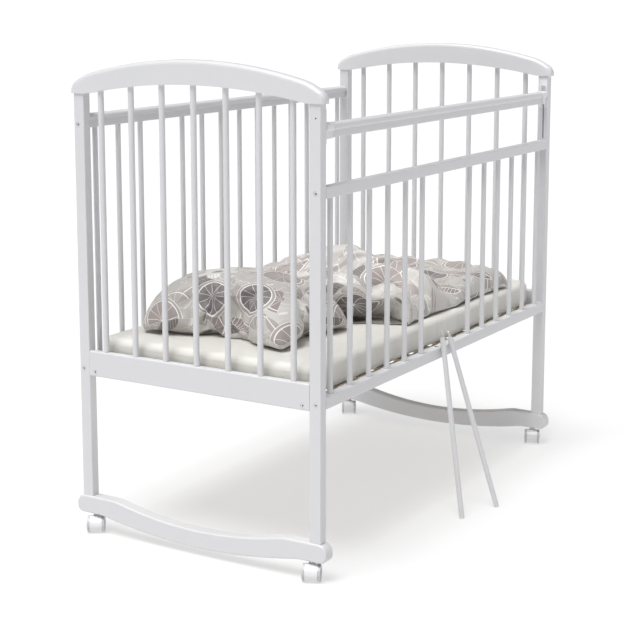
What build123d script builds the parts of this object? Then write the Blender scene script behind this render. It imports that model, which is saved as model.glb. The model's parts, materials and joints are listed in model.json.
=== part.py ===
from build123d import *
import math
import os

# A rocking baby crib: two arched ends on rockers and casters, a rodded back, a rodded front with a
# drop bar and two rods that lift out, a slatted base, a mattress, a pillow and a duvet.
# Millimetres. +X runs from the head end to the foot end, -Y is the front, +Z is up.
# The origin is on the floor, in the middle of the footprint, with the two leaning rods counted in.

os.makedirs("parts", exist_ok=True)

ends = (("head", -1), ("foot", 1))
sides = (("front", -1), ("back", 1))

# ---- Frame ----
mid_y = 56                  # the crib's own middle plane
inner_length = 1206         # between the posts, for a 1200 mm mattress
inner_width = 614           # between the end posts, for a 600 mm mattress
post_depth = 24             # along X
post_width = 29             # along Y
post_bottom = 90
post_top = 1063
post_round = 2
outer_x = inner_length / 2 + post_depth
inner_x = inner_length / 2
outer_reach = inner_width / 2 + post_width
glue_gap = 0.05             # all round a glued rod, screw or tenon

# ---- Side rails, all on one plane at each side ----
rail_thickness = 24
rail_round = 3
rail_reach = outer_reach - rail_thickness / 2
bottom_rail_z = 392
bottom_rail_height = 28
bottom_rail_top = bottom_rail_z + bottom_rail_height
mid_rail_z = 858
mid_rail_height = 26
back_top_rail_z = 981
drop_bar_z = 987

# ---- Moulded bar section: a rounded bead over a narrower web ----
moulding_height = 33
bead_width = 24
bead_height = 18
bead_round = 8
web_width = 17
web_round = 2

# ---- Rods ----
end_rod_radius = 7
end_rod_count = 7
end_rod_pitch = 87.3
side_rod_radius = 6.5
side_rod_count = 14
side_rod_pitch = 87.2
loose_rod_indices = (6, 7)  # the two middle rods lift out
rod_depth = 10              # how far a glued rod goes into its rail
socket_radius = 6.7         # empty seat of a lift-out rod's foot
socket_depth = 16
pin_hole_radius = 3.2       # empty hole for a lift-out rod's spring pin
pin_hole_depth = 14

# ---- End rails, arches and rockers ----
end_rail_z = 390
end_rail_height = 61
end_rail_thickness = 18
tenon_length = 10
tenon_thickness = 8
tenon_margin = 8
arch_thickness = 30
arch_reach = 346
arch_flat_reach = 300       # the underside is flat over the posts, past this
arch_middle_underside = 1092
arch_middle_top = 1148
arch_shoulder_reach = 305
arch_shoulder_top = 1107
arch_corner = 24
arch_tip_radius = 28
arch_shoulder_radius = 140
arch_round = 11
top_tenon = (12, 16, 20)
rocker_thickness = 32
rocker_reach = 352
rocker_end_bottom = 47
rocker_middle_top = 61.5
rocker_middle_bottom = 19.5
rocker_top_radius = 1000
rocker_bottom_radius = 1411
rocker_bend = 150           # radius where the rocker's curve turns flat
rocker_top_corner = 20
rocker_bottom_corner = 16
rocker_round = 4

# ---- Fasteners ----
bolt_radius = 3
bolt_head_radius = 5.5
bolt_head_height = 4.5
bolt_hole_clearance = 0.2
bolt_sink = 5
bolt_length = 52
bolt_socket_radius = 2.3
nut_radius = 5
nut_length = 14
nut_distance = 48           # from the post's outer face
rail_bolt_heights = {
    "front": (bottom_rail_z + bottom_rail_height / 2, mid_rail_z + mid_rail_height / 2),
    "back": (bottom_rail_z + bottom_rail_height / 2, back_top_rail_z + 9),
}
base_bolt_reach = 290
base_bolt_z = 401
rocker_screw_reach = 328
rocker_screw_grip = 45      # how far a rocker screw goes up into its post
rocker_screw_sink = 9
rocker_screw_head_height = 4

# ---- Drop bar, its guides and its release buttons ----
drop_travel = 100
cap_wall = 1.2
cap_length = 28
cap_end_wall = 3
guide_thickness = 2.5
guide_width = 22
guide_bottom = 974
guide_top = 1052
guide_round = 4
guide_slot_width = 4.4
guide_gap = 0.6             # between the guide and the bar's end cap
groove_width = 4
groove_depth = 7
groove_top = 1018
tongue_width = 3.4
tongue_bottom = 993
groove_bottom = tongue_bottom - drop_travel - 4
tongue_top = 1015
tongue_depth = 6
button_z = 1032
button_radius = 6
button_bore_radius = 6.07
button_front = 8.5          # from the post's inner face
button_travel = 3.5
button_back = -button_travel
button_flange_radius = 7
button_flange_thickness = 1.5
button_tail_radius = 1.93
button_tail_end = -19
boss_radius = 8.5
boss_height = 2
pocket_radius = 7.3
pocket_depth = 12
tail_hole_radius = 2

# ---- Lift-out rods, leaning against the front bottom rail ----
loose_rod_length = 452
loose_rod_gap = 0.3         # off the floor and off the rail's edge
loose_rods = (              # name, foot's x, how far the foot stands out, x where it meets the rail
    ("one", -80, 82, -44),
    ("two", 43, 120, 0),
)
pin_radius = 3
pin_bore_radius = 3.06
pin_out = 17
pin_in = 14
pin_bore_depth = 39
pin_tip = 1.2

# ---- Mattress base ----
base_bar_width = 22
base_bar_z = 388
base_bar_height = 18
base_bar_reach = 301        # outer face of the long bars
base_bar_gap = 0.5
slat_count = 12
slat_width = 60
slat_thickness = 7
slat_pitch = 102
slat_round = 2
slat_top = base_bar_z + base_bar_height + slat_thickness

# ---- Soft goods ----
mattress_length = 1196
mattress_width = 598
mattress_height = 70
mattress_corner = 28
mattress_edge = 9
mattress_bottom = slat_top + 0.4
mattress_top = mattress_bottom + mattress_height
soft_gap = 0.4
pillow_middle = (-377, 34)  # x, and y from the crib's middle plane
pillow_size = (310, 442, 148)
pillow_corner = 70
pillow_edge = 60
duvet_front = -286          # from the crib's middle plane
duvet_back = 270
duvet_profile = (           # x, height over the mattress
    (-206, 0), (-206, 64), (-150, 114), (10, 120), (120, 82), (220, 58), (440, 54), (462, 44), (462, 0),
)
duvet_bend = 14
duvet_edge = 12

# ---- Casters ----
caster_reach = 307
caster_x = inner_x + post_depth / 2
caster_trail = 8            # the axle trails the stem, towards the head end before the turn
caster_turns = {"head_back": 33, "head_front": 24, "foot_back": 28, "foot_front": 22}
wheel_radius = 20
wheel_inner_radius = 17.4
wheel_inside = 5            # from the caster's middle plane
wheel_rim_inside = 15.6
wheel_outside = 21
wheel_round = 1.6
hub_radius = 7
hub_step = 0.8
axle_radius = 2
axle_bore_radius = 2.06
fender_radius = 20.3
fender_inner_radius = 18.3
fender_half_width = 15
web_half_width = 4
hood_front_bottom = 7
hood_rear_bottom = 27
boss_top = 42
caster_boss_radius = 7.5
stem_radius = 4
stem_tang_radius = 2.4
stem_tang_bottom = 29
stem_bottom = 39
stem_top = 70
collar_radius = 6.5
collar_height = 2.6
sleeve_radius = 5.5
sleeve_bore_radius = 4.06
sleeve_flange_radius = 9
sleeve_flange_height = 1.5
sleeve_top = 73


def save(part, name):
    part.label = name
    export_step(part, f"parts/{name}.step")


def rod_places(count, pitch):
    return [(index - (count - 1) / 2) * pitch for index in range(count)]


def underside_arc_radius():
    rise = arch_middle_underside - post_top
    return (arch_flat_reach ** 2 + rise ** 2) / (2 * rise)


def arch_underside(reach):
    radius = underside_arc_radius()
    return arch_middle_underside - radius + math.sqrt(radius ** 2 - reach ** 2)


def arc_reach(radius, rise):
    return math.sqrt(radius ** 2 - (radius - rise) ** 2)


def moulding_sketch(y, z, margin=0):
    # the bar's section on a YZ plane, with its underside at z; margin grows it all round
    bead_middle = z + moulding_height - bead_height / 2
    with Locations((y, bead_middle)):
        RectangleRounded(bead_width + 2 * margin, bead_height + 2 * margin, bead_round)
    web_height = moulding_height - bead_height / 2
    with Locations((y, z + web_height / 2)):
        RectangleRounded(web_width + 2 * margin, web_height + 2 * margin, web_round)


side_rod_xs = rod_places(side_rod_count, side_rod_pitch)
fixed_rod_xs = [x for index, x in enumerate(side_rod_xs) if index not in loose_rod_indices]
loose_socket_xs = [side_rod_xs[index] for index in loose_rod_indices]
end_rod_ys = [mid_y + y for y in rod_places(end_rod_count, end_rod_pitch)]
front_y = mid_y - outer_reach
front_rail_y = mid_y - rail_reach
back_rail_y = mid_y + rail_reach
end_rail_x = outer_x - end_rail_thickness / 2
arch_x = inner_x + post_depth / 2

# ---- Posts: tenoned into the arch, mortised for the end rail, grooved for the drop bar ----
for end_name, end in ends:
    for side_name, side in sides:
        post_x = end * (inner_x + post_depth / 2)
        post_y = mid_y + side * (inner_width + post_width) / 2
        post_rail_y = mid_y + side * rail_reach
        bolt_places = [(post_rail_y, height) for height in rail_bolt_heights[side_name]]
        with BuildPart() as post:
            with BuildSketch(Plane.XY.offset(post_bottom)):
                with Locations((post_x, post_y)):
                    RectangleRounded(post_depth, post_width, post_round)
            extrude(amount=post_top - post_bottom)
            with BuildSketch(Plane.XY.offset(post_top)):
                with Locations((post_x, post_y)):
                    Rectangle(top_tenon[0], top_tenon[1])
            extrude(amount=top_tenon[2])
            with BuildSketch(Plane.YZ.offset(end * outer_x)):
                with Locations(*bolt_places):
                    Circle(bolt_radius + bolt_hole_clearance)
            extrude(amount=-end * post_depth, mode=Mode.SUBTRACT)
            with BuildSketch(Plane.YZ.offset(end * outer_x)):
                with Locations(*bolt_places):
                    Circle(bolt_head_radius + bolt_hole_clearance)
            extrude(amount=-end * bolt_sink, mode=Mode.SUBTRACT)
            with BuildSketch(Plane.YZ.offset(end * end_rail_x)):
                with Locations((mid_y + side * inner_width / 2, end_rail_z + end_rail_height / 2)):
                    Rectangle(2 * (tenon_length + 1), end_rail_height - 2 * tenon_margin + 2 * glue_gap)
            extrude(amount=tenon_thickness / 2 + glue_gap, both=True, mode=Mode.SUBTRACT)
            with BuildSketch(Plane.XY.offset(post_bottom)):
                with Locations((post_x, mid_y + side * rocker_screw_reach)):
                    Circle(bolt_radius + glue_gap)
            extrude(amount=rocker_screw_grip + 1, mode=Mode.SUBTRACT)
            if side_name == "front":
                with BuildSketch(Plane.YZ.offset(end * inner_x)):
                    with Locations((post_rail_y, (groove_bottom + groove_top) / 2)):
                        Rectangle(groove_width, groove_top - groove_bottom)
                extrude(amount=end * groove_depth, mode=Mode.SUBTRACT)
                with BuildSketch(Plane.YZ.offset(end * inner_x)):
                    with Locations((post_rail_y, button_z)):
                        Circle(pocket_radius)
                extrude(amount=end * pocket_depth, mode=Mode.SUBTRACT)
                with BuildSketch(Plane.YZ.offset(end * inner_x)):
                    with Locations((post_rail_y, button_z)):
                        Circle(tail_hole_radius)
                extrude(amount=end * post_depth, mode=Mode.SUBTRACT)
        save(post.part, f"{end_name}_{side_name}_post")

# ---- Arched top rails ----
for end_name, end in ends:
    with BuildPart() as arch:
        with BuildSketch(Plane.YZ.offset(end * arch_x)) as arch_face:
            with BuildLine():
                Line((mid_y - arch_reach, post_top), (mid_y - arch_flat_reach, post_top))
                ThreePointArc(
                    (mid_y - arch_flat_reach, post_top),
                    (mid_y, arch_middle_underside),
                    (mid_y + arch_flat_reach, post_top),
                )
                Line((mid_y + arch_flat_reach, post_top), (mid_y + arch_reach, post_top))
                Line((mid_y + arch_reach, post_top), (mid_y + arch_reach, arch_shoulder_top - arch_corner))
                Line(
                    (mid_y + arch_reach, arch_shoulder_top - arch_corner),
                    (mid_y + arch_shoulder_reach, arch_shoulder_top),
                )
                ThreePointArc(
                    (mid_y + arch_shoulder_reach, arch_shoulder_top),
                    (mid_y, arch_middle_top),
                    (mid_y - arch_shoulder_reach, arch_shoulder_top),
                )
                Line(
                    (mid_y - arch_shoulder_reach, arch_shoulder_top),
                    (mid_y - arch_reach, arch_shoulder_top - arch_corner),
                )
                Line((mid_y - arch_reach, arch_shoulder_top - arch_corner), (mid_y - arch_reach, post_top))
            make_face()
            tips = arch_face.vertices().filter_by(lambda v: post_top + 1 < v.Y < arch_shoulder_top - 1)
            fillet(tips, radius=arch_tip_radius)
            shoulders = arch_face.vertices().filter_by(lambda v: abs(v.Y - arch_shoulder_top) < 1)
            fillet(shoulders, radius=arch_shoulder_radius)
        extrude(amount=arch_thickness / 2, both=True)
        rounded = arch.edges().filter_by(
            lambda e: abs(abs(e.center().X) - arch_x) > arch_thickness / 2 - 1
            and e.center().Z > post_top + 1
            and not (e.geom_type == GeomType.CIRCLE and e.radius > underside_arc_radius() - 1)
        )
        fillet(rounded, radius=arch_round)
        for rod_y in end_rod_ys:
            with BuildSketch(Plane.XY.offset(post_top - 1)):
                with Locations((end * end_rail_x, rod_y)):
                    Circle(end_rod_radius + glue_gap)
            hole_top = arch_underside(rod_y - mid_y) + rod_depth + 1
            extrude(amount=hole_top - post_top + 1, mode=Mode.SUBTRACT)
        with BuildSketch(Plane.XY.offset(post_top)):
            for side_name, side in sides:
                with Locations((end * arch_x, mid_y + side * (inner_width + post_width) / 2)):
                    Rectangle(top_tenon[0] + 2 * glue_gap, top_tenon[1] + 2 * glue_gap)
        extrude(amount=top_tenon[2] + 1, mode=Mode.SUBTRACT)
    save(arch.part, f"{end_name}_arch_rail")

# ---- Wide lower rails of the ends ----
for end_name, end in ends:
    with BuildPart() as end_rail:
        with BuildSketch(Plane.XZ.offset(-(mid_y - inner_width / 2))):
            with Locations((end * end_rail_x, end_rail_z + end_rail_height / 2)):
                RectangleRounded(end_rail_thickness, end_rail_height, rail_round)
        extrude(amount=-inner_width)
        with BuildSketch(Plane.XZ.offset(-(mid_y - inner_width / 2 - tenon_length))):
            with Locations((end * end_rail_x, end_rail_z + end_rail_height / 2)):
                Rectangle(tenon_thickness, end_rail_height - 2 * tenon_margin)
        extrude(amount=-(inner_width + 2 * tenon_length))
        with BuildSketch(Plane.XY.offset(end_rail_z + end_rail_height)):
            with Locations(*[(end * end_rail_x, rod_y) for rod_y in end_rod_ys]):
                Circle(end_rod_radius + glue_gap)
        extrude(amount=-(rod_depth + 1), mode=Mode.SUBTRACT)
        bolt_places = [(mid_y + side * base_bolt_reach, base_bolt_z) for side_name, side in sides]
        with BuildSketch(Plane.YZ.offset(end * outer_x)):
            with Locations(*bolt_places):
                Circle(bolt_radius + bolt_hole_clearance)
        extrude(amount=-end * end_rail_thickness, mode=Mode.SUBTRACT)
        with BuildSketch(Plane.YZ.offset(end * outer_x)):
            with Locations(*bolt_places):
                Circle(bolt_head_radius + bolt_hole_clearance)
        extrude(amount=-end * bolt_sink, mode=Mode.SUBTRACT)
    save(end_rail.part, f"{end_name}_lower_rail")

# ---- Rods of the ends, each as long as the arch over it allows ----
end_rod_bottom = end_rail_z + end_rail_height - rod_depth
for end_name, end in ends:
    with BuildPart() as end_rods:
        for rod_y in end_rod_ys:
            with BuildSketch(Plane.XY.offset(end_rod_bottom)):
                with Locations((end * end_rail_x, rod_y)):
                    Circle(end_rod_radius)
            extrude(amount=arch_underside(rod_y - mid_y) + rod_depth - end_rod_bottom)
    save(end_rods.part, f"{end_name}_rods")

# ---- Rockers ----
top_curve_reach = arc_reach(rocker_top_radius, post_bottom - rocker_middle_top)
bottom_curve_reach = arc_reach(rocker_bottom_radius, rocker_end_bottom - rocker_middle_bottom)
for end_name, end in ends:
    with BuildPart() as rocker:
        with BuildSketch(Plane.YZ.offset(end * arch_x)) as rocker_face:
            with BuildLine():
                Line(
                    (mid_y - rocker_reach, rocker_end_bottom),
                    (mid_y - bottom_curve_reach, rocker_end_bottom),
                )
                ThreePointArc(
                    (mid_y - bottom_curve_reach, rocker_end_bottom),
                    (mid_y, rocker_middle_bottom),
                    (mid_y + bottom_curve_reach, rocker_end_bottom),
                )
                Line(
                    (mid_y + bottom_curve_reach, rocker_end_bottom),
                    (mid_y + rocker_reach, rocker_end_bottom),
                )
                Line((mid_y + rocker_reach, rocker_end_bottom), (mid_y + rocker_reach, post_bottom))
                Line((mid_y + rocker_reach, post_bottom), (mid_y + top_curve_reach, post_bottom))
                ThreePointArc(
                    (mid_y + top_curve_reach, post_bottom),
                    (mid_y, rocker_middle_top),
                    (mid_y - top_curve_reach, post_bottom),
                )
                Line((mid_y - top_curve_reach, post_bottom), (mid_y - rocker_reach, post_bottom))
                Line((mid_y - rocker_reach, post_bottom), (mid_y - rocker_reach, rocker_end_bottom))
            make_face()
            bends = rocker_face.vertices().filter_by(lambda v: abs(v.X - mid_y) < rocker_reach - 1)
            fillet(bends, radius=rocker_bend)
            for corner_z, corner_radius in (
                (post_bottom, rocker_top_corner),
                (rocker_end_bottom, rocker_bottom_corner),
            ):
                corners = rocker_face.vertices().filter_by(
                    lambda v: abs(v.X - mid_y) > rocker_reach - 1 and abs(v.Y - corner_z) < 1
                )
                fillet(corners, radius=corner_radius)
        extrude(amount=rocker_thickness / 2, both=True)
        outlines = rocker.edges().filter_by(
            lambda e: abs(abs(e.center().X) - arch_x) > rocker_thickness / 2 - 1
        )
        fillet(outlines, radius=rocker_round)
        for side_name, side in sides:
            with BuildSketch(Plane.XY.offset(rocker_end_bottom)):
                with Locations((end * caster_x, mid_y + side * caster_reach)):
                    Circle(sleeve_radius + glue_gap)
            extrude(amount=sleeve_top + 1 - rocker_end_bottom, mode=Mode.SUBTRACT)
            with BuildSketch(Plane.XY.offset(rocker_end_bottom)):
                with Locations((end * arch_x, mid_y + side * rocker_screw_reach)):
                    Circle(bolt_radius + glue_gap)
            extrude(amount=post_bottom - rocker_end_bottom, mode=Mode.SUBTRACT)
            with BuildSketch(Plane.XY.offset(rocker_end_bottom)):
                with Locations((end * arch_x, mid_y + side * rocker_screw_reach)):
                    Circle(bolt_head_radius + glue_gap)
            extrude(amount=rocker_screw_sink, mode=Mode.SUBTRACT)
    save(rocker.part, f"{end_name}_rocker")

# ---- Back: moulded top rail, bottom rail and rods ----
rail_bolt_bore = bolt_length + 3 - post_depth
with BuildPart() as back_top_rail:
    with BuildSketch(Plane.YZ.offset(-inner_x)):
        moulding_sketch(back_rail_y, back_top_rail_z)
    extrude(amount=inner_length)
    with BuildSketch(Plane.XY.offset(back_top_rail_z)):
        with Locations(*[(x, back_rail_y) for x in side_rod_xs]):
            Circle(side_rod_radius + glue_gap)
    extrude(amount=rod_depth + 1, mode=Mode.SUBTRACT)
    for end_name, end in ends:
        with BuildSketch(Plane.YZ.offset(end * inner_x)):
            with Locations((back_rail_y, rail_bolt_heights["back"][1])):
                Circle(bolt_radius + bolt_hole_clearance)
        extrude(amount=-end * rail_bolt_bore, mode=Mode.SUBTRACT)
        with BuildSketch(Plane.XZ.offset(-(back_rail_y + nut_length))):
            with Locations((end * (outer_x - nut_distance), rail_bolt_heights["back"][1])):
                Circle(nut_radius + glue_gap)
        extrude(amount=1.5 * nut_length, mode=Mode.SUBTRACT)
save(back_top_rail.part, "back_top_rail")


def plain_rail(y, z, height):
    # a straight side rail with its bolt bores at both ends; its nut bores open on the far face
    bolt_z = z + height / 2
    with BuildPart() as rail:
        with BuildSketch(Plane.YZ.offset(-inner_x)):
            with Locations((y, bolt_z)):
                RectangleRounded(rail_thickness, height, rail_round)
        extrude(amount=inner_length)
        for end_name, end in ends:
            with BuildSketch(Plane.YZ.offset(end * inner_x)):
                with Locations((y, bolt_z)):
                    Circle(bolt_radius + bolt_hole_clearance)
            extrude(amount=-end * rail_bolt_bore, mode=Mode.SUBTRACT)
            with BuildSketch(Plane.XZ.offset(-(y + rail_thickness / 2))):
                with Locations((end * (outer_x - nut_distance), bolt_z)):
                    Circle(nut_radius + glue_gap)
            extrude(amount=rail_thickness / 2 + nut_length / 2, mode=Mode.SUBTRACT)
    return rail.part


def drilled(rail, plane, centres, radius, depth):
    with BuildPart() as bored:
        add(rail)
        with BuildSketch(plane):
            with Locations(*centres):
                Circle(radius)
        extrude(amount=-depth, mode=Mode.SUBTRACT)
    return bored.part


bottom_face = Plane.XY.offset(bottom_rail_top)
back_bottom_rail = plain_rail(back_rail_y, bottom_rail_z, bottom_rail_height)
back_bottom_rail = drilled(
    back_bottom_rail, bottom_face, [(x, back_rail_y) for x in side_rod_xs],
    side_rod_radius + glue_gap, rod_depth + 1,
)
save(back_bottom_rail, "back_bottom_rail")

side_rod_bottom = bottom_rail_top - rod_depth
with BuildPart() as back_rods:
    with BuildSketch(Plane.XY.offset(side_rod_bottom)):
        with Locations(*[(x, back_rail_y) for x in side_rod_xs]):
            Circle(side_rod_radius)
    extrude(amount=back_top_rail_z + rod_depth - side_rod_bottom)
save(back_rods.part, "back_rods")

# ---- Front: bottom rail, mid rail and the fixed rods, with two empty seats in the middle ----
front_bottom_rail = plain_rail(front_rail_y, bottom_rail_z, bottom_rail_height)
front_bottom_rail = drilled(
    front_bottom_rail, bottom_face, [(x, front_rail_y) for x in fixed_rod_xs],
    side_rod_radius + glue_gap, rod_depth + 1,
)
front_bottom_rail = drilled(
    front_bottom_rail, bottom_face, [(x, front_rail_y) for x in loose_socket_xs],
    socket_radius, socket_depth,
)
save(front_bottom_rail, "front_bottom_rail")

mid_rail_underside = Plane(origin=(0, 0, mid_rail_z), x_dir=(1, 0, 0), z_dir=(0, 0, -1))
front_mid_rail = plain_rail(front_rail_y, mid_rail_z, mid_rail_height)
front_mid_rail = drilled(
    front_mid_rail, mid_rail_underside, [(x, -front_rail_y) for x in fixed_rod_xs],
    side_rod_radius + glue_gap, rod_depth + 1,
)
front_mid_rail = drilled(
    front_mid_rail, mid_rail_underside, [(x, -front_rail_y) for x in loose_socket_xs],
    pin_hole_radius, pin_hole_depth,
)
save(front_mid_rail, "front_mid_rail")

with BuildPart() as front_rods:
    with BuildSketch(Plane.XY.offset(side_rod_bottom)):
        with Locations(*[(x, front_rail_y) for x in fixed_rod_xs]):
            Circle(side_rod_radius)
    extrude(amount=mid_rail_z + rod_depth - side_rod_bottom)
save(front_rods.part, "front_rods")

# ---- Bolts, barrel nuts and screws ----
with BuildPart() as rail_bolts:
    for end_name, end in ends:
        for side_name, side in sides:
            places = [(mid_y + side * rail_reach, height) for height in rail_bolt_heights[side_name]]
            with BuildSketch(Plane.YZ.offset(end * (outer_x - bolt_sink))):
                with Locations(*places):
                    Circle(bolt_radius)
            extrude(amount=-end * (bolt_length - bolt_sink))
            with BuildSketch(Plane.YZ.offset(end * (outer_x - bolt_sink))):
                with Locations(*places):
                    Circle(bolt_head_radius)
                    RegularPolygon(bolt_socket_radius, 6, mode=Mode.SUBTRACT)
            extrude(amount=end * bolt_head_height)
save(rail_bolts.part, "rail_bolts")

with BuildPart() as barrel_nuts:
    for end_name, end in ends:
        for side_name, side in sides:
            with BuildSketch(Plane.XZ.offset(-(mid_y + side * rail_reach))):
                with Locations(
                    *[(end * (outer_x - nut_distance), height) for height in rail_bolt_heights[side_name]]
                ):
                    Circle(nut_radius)
            extrude(amount=nut_length / 2, both=True)
            with BuildSketch(Plane.YZ.offset(end * inner_x)):
                with Locations(
                    *[(mid_y + side * rail_reach, height) for height in rail_bolt_heights[side_name]]
                ):
                    Circle(bolt_radius + glue_gap)
            extrude(amount=-end * nut_distance, mode=Mode.SUBTRACT)
save(barrel_nuts.part, "barrel_nuts")

base_bolt_length = end_rail_thickness + 42
with BuildPart() as base_bolts:
    for end_name, end in ends:
        places = [(mid_y + side * base_bolt_reach, base_bolt_z) for side_name, side in sides]
        with BuildSketch(Plane.YZ.offset(end * (outer_x - bolt_sink))):
            with Locations(*places):
                Circle(bolt_radius)
        extrude(amount=-end * (base_bolt_length - bolt_sink))
        with BuildSketch(Plane.YZ.offset(end * (outer_x - bolt_sink))):
            with Locations(*places):
                Circle(bolt_head_radius)
                RegularPolygon(bolt_socket_radius, 6, mode=Mode.SUBTRACT)
        extrude(amount=end * bolt_head_height)
save(base_bolts.part, "base_bolts")

screw_head_bottom = rocker_end_bottom + rocker_screw_sink - rocker_screw_head_height
with BuildPart() as rocker_screws:
    for end_name, end in ends:
        for side_name, side in sides:
            with BuildSketch(Plane.XY.offset(screw_head_bottom)):
                with Locations((end * arch_x, mid_y + side * rocker_screw_reach)):
                    Circle(bolt_head_radius)
                    RegularPolygon(bolt_socket_radius, 6, mode=Mode.SUBTRACT)
            extrude(amount=rocker_screw_head_height)
            with BuildSketch(Plane.XY.offset(screw_head_bottom + rocker_screw_head_height)):
                with Locations((end * arch_x, mid_y + side * rocker_screw_reach)):
                    Circle(bolt_radius)
            extrude(amount=post_bottom + rocker_screw_grip - screw_head_bottom - rocker_screw_head_height)
save(rocker_screws.part, "rocker_screws")

# ---- Drop bar with its two end caps ----
cap_end_x = inner_x - guide_thickness - guide_gap
bar_end_x = cap_end_x - cap_end_wall
with BuildPart() as drop_bar:
    with BuildSketch(Plane.YZ.offset(-bar_end_x)):
        moulding_sketch(front_rail_y, drop_bar_z)
    extrude(amount=2 * bar_end_x)
save(drop_bar.part, "drop_bar")

for end_name, end in ends:
    with BuildPart() as bar_cap:
        with BuildSketch(Plane.YZ.offset(end * cap_end_x)):
            moulding_sketch(front_rail_y, drop_bar_z, margin=cap_wall)
        extrude(amount=-end * cap_length)
        with BuildSketch(Plane.YZ.offset(end * bar_end_x)):
            moulding_sketch(front_rail_y, drop_bar_z)
        extrude(amount=-end * cap_length, mode=Mode.SUBTRACT)
        with BuildSketch(Plane.YZ.offset(end * cap_end_x)):
            with Locations((front_rail_y, (tongue_bottom + tongue_top) / 2)):
                RectangleRounded(tongue_width, tongue_top - tongue_bottom, 1)
        extrude(amount=end * (inner_x + tongue_depth - cap_end_x))
    save(bar_cap.part, f"drop_bar_{end_name}_cap")

# ---- Guide plates on the front posts, with the release buttons and their springs ----
for end_name, end in ends:
    with BuildPart() as guide:
        with BuildSketch(Plane.YZ.offset(end * inner_x)):
            with Locations((front_rail_y, (guide_bottom + guide_top) / 2)):
                RectangleRounded(guide_width, guide_top - guide_bottom, guide_round)
            with Locations((front_rail_y, (guide_bottom + groove_top) / 2)):
                Rectangle(guide_slot_width, groove_top - guide_bottom, mode=Mode.SUBTRACT)
        extrude(amount=-end * guide_thickness)
        with BuildSketch(Plane.YZ.offset(end * (inner_x - guide_thickness))):
            with Locations((front_rail_y, button_z)):
                Circle(boss_radius)
        extrude(amount=-end * boss_height)
        with BuildSketch(Plane.YZ.offset(end * inner_x)):
            with Locations((front_rail_y, button_z)):
                Circle(button_bore_radius)
        extrude(amount=-end * (guide_thickness + boss_height), mode=Mode.SUBTRACT)
    save(guide.part, f"drop_guide_{end_name}")

    with BuildPart() as button:
        with BuildSketch(Plane.YZ.offset(end * (inner_x - button_back))):
            with Locations((front_rail_y, button_z)):
                Circle(button_radius)
        extrude(amount=-end * (button_front - button_back))
        tip = button.faces().sort_by(Axis.X)[0 if end > 0 else -1]
        fillet(tip.edges(), radius=2.5)
        with BuildSketch(Plane.YZ.offset(end * (inner_x - button_back))):
            with Locations((front_rail_y, button_z)):
                Circle(button_flange_radius)
        extrude(amount=-end * button_flange_thickness)
        with BuildSketch(Plane.YZ.offset(end * (inner_x - button_back))):
            with Locations((front_rail_y, button_z)):
                Circle(button_tail_radius)
        extrude(amount=end * (button_back - button_tail_end))
    save(button.part, f"release_button_{end_name}")

button_spring_radius = 4.4
button_spring_wire = 0.5
button_spring_pitch = 2.2
for end_name, end in ends:
    spring_start = inner_x - button_back + button_spring_wire + 0.2
    spring_length = pocket_depth + button_back - 2 * button_spring_wire - 0.4
    with BuildPart() as button_spring:
        with BuildLine() as coil:
            Helix(
                button_spring_pitch, spring_length, button_spring_radius,
                center=(end * spring_start, front_rail_y, button_z), direction=(end, 0, 0),
            )
        with BuildSketch(Plane(origin=coil.line @ 0, z_dir=coil.line % 0)):
            Circle(button_spring_wire)
        sweep(is_frenet=True)
    save(button_spring.part, f"button_spring_{end_name}")

# ---- Two lift-out rods, leaning, each with its spring pin ----
pin_spring_radius = 2.2
pin_spring_wire = 0.4
pin_spring_pitch = 2.6
for rod_name, foot_x, foot_reach, edge_x in loose_rods:
    # the axis clears the rail's top front edge by its radius and the gap
    slope = math.atan2(foot_reach - side_rod_radius, bottom_rail_top)
    touch_y = front_y - (side_rod_radius + loose_rod_gap) / math.cos(slope)
    foot_y = front_y - foot_reach
    lean = Vector(edge_x - foot_x, touch_y - foot_y, bottom_rail_top).normalized()
    foot_z = side_rod_radius * math.hypot(lean.X, lean.Y) + loose_rod_gap
    foot = Vector(foot_x, foot_y, foot_z)
    top = foot + lean * loose_rod_length
    with BuildPart() as loose_rod:
        with BuildSketch(Plane(origin=foot, z_dir=lean)):
            Circle(side_rod_radius)
        extrude(amount=loose_rod_length)
        with BuildSketch(Plane(origin=top, z_dir=lean)):
            Circle(pin_bore_radius)
        extrude(amount=-pin_bore_depth, mode=Mode.SUBTRACT)
    save(loose_rod.part, f"lift_out_rod_{rod_name}")
    with BuildPart() as pin:
        with BuildSketch(Plane(origin=top - lean * pin_in, z_dir=lean)):
            Circle(pin_radius)
        extrude(amount=pin_in + pin_out)
        chamfer(pin.edges().sort_by(Axis.Z)[-1], length=pin_tip)
    save(pin.part, f"spring_pin_{rod_name}")
    spring_foot = top - lean * (pin_bore_depth - pin_spring_wire - 0.2)
    with BuildPart() as pin_spring:
        with BuildLine() as coil:
            Helix(
                pin_spring_pitch, pin_bore_depth - pin_in - 2 * pin_spring_wire - 0.4, pin_spring_radius,
                center=spring_foot, direction=lean,
            )
        with BuildSketch(Plane(origin=coil.line @ 0, z_dir=coil.line % 0)):
            Circle(pin_spring_wire)
        sweep(is_frenet=True)
    save(pin_spring.part, f"pin_spring_{rod_name}")
    print(rod_name, "rod leans along", [round(value, 5) for value in lean])

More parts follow.
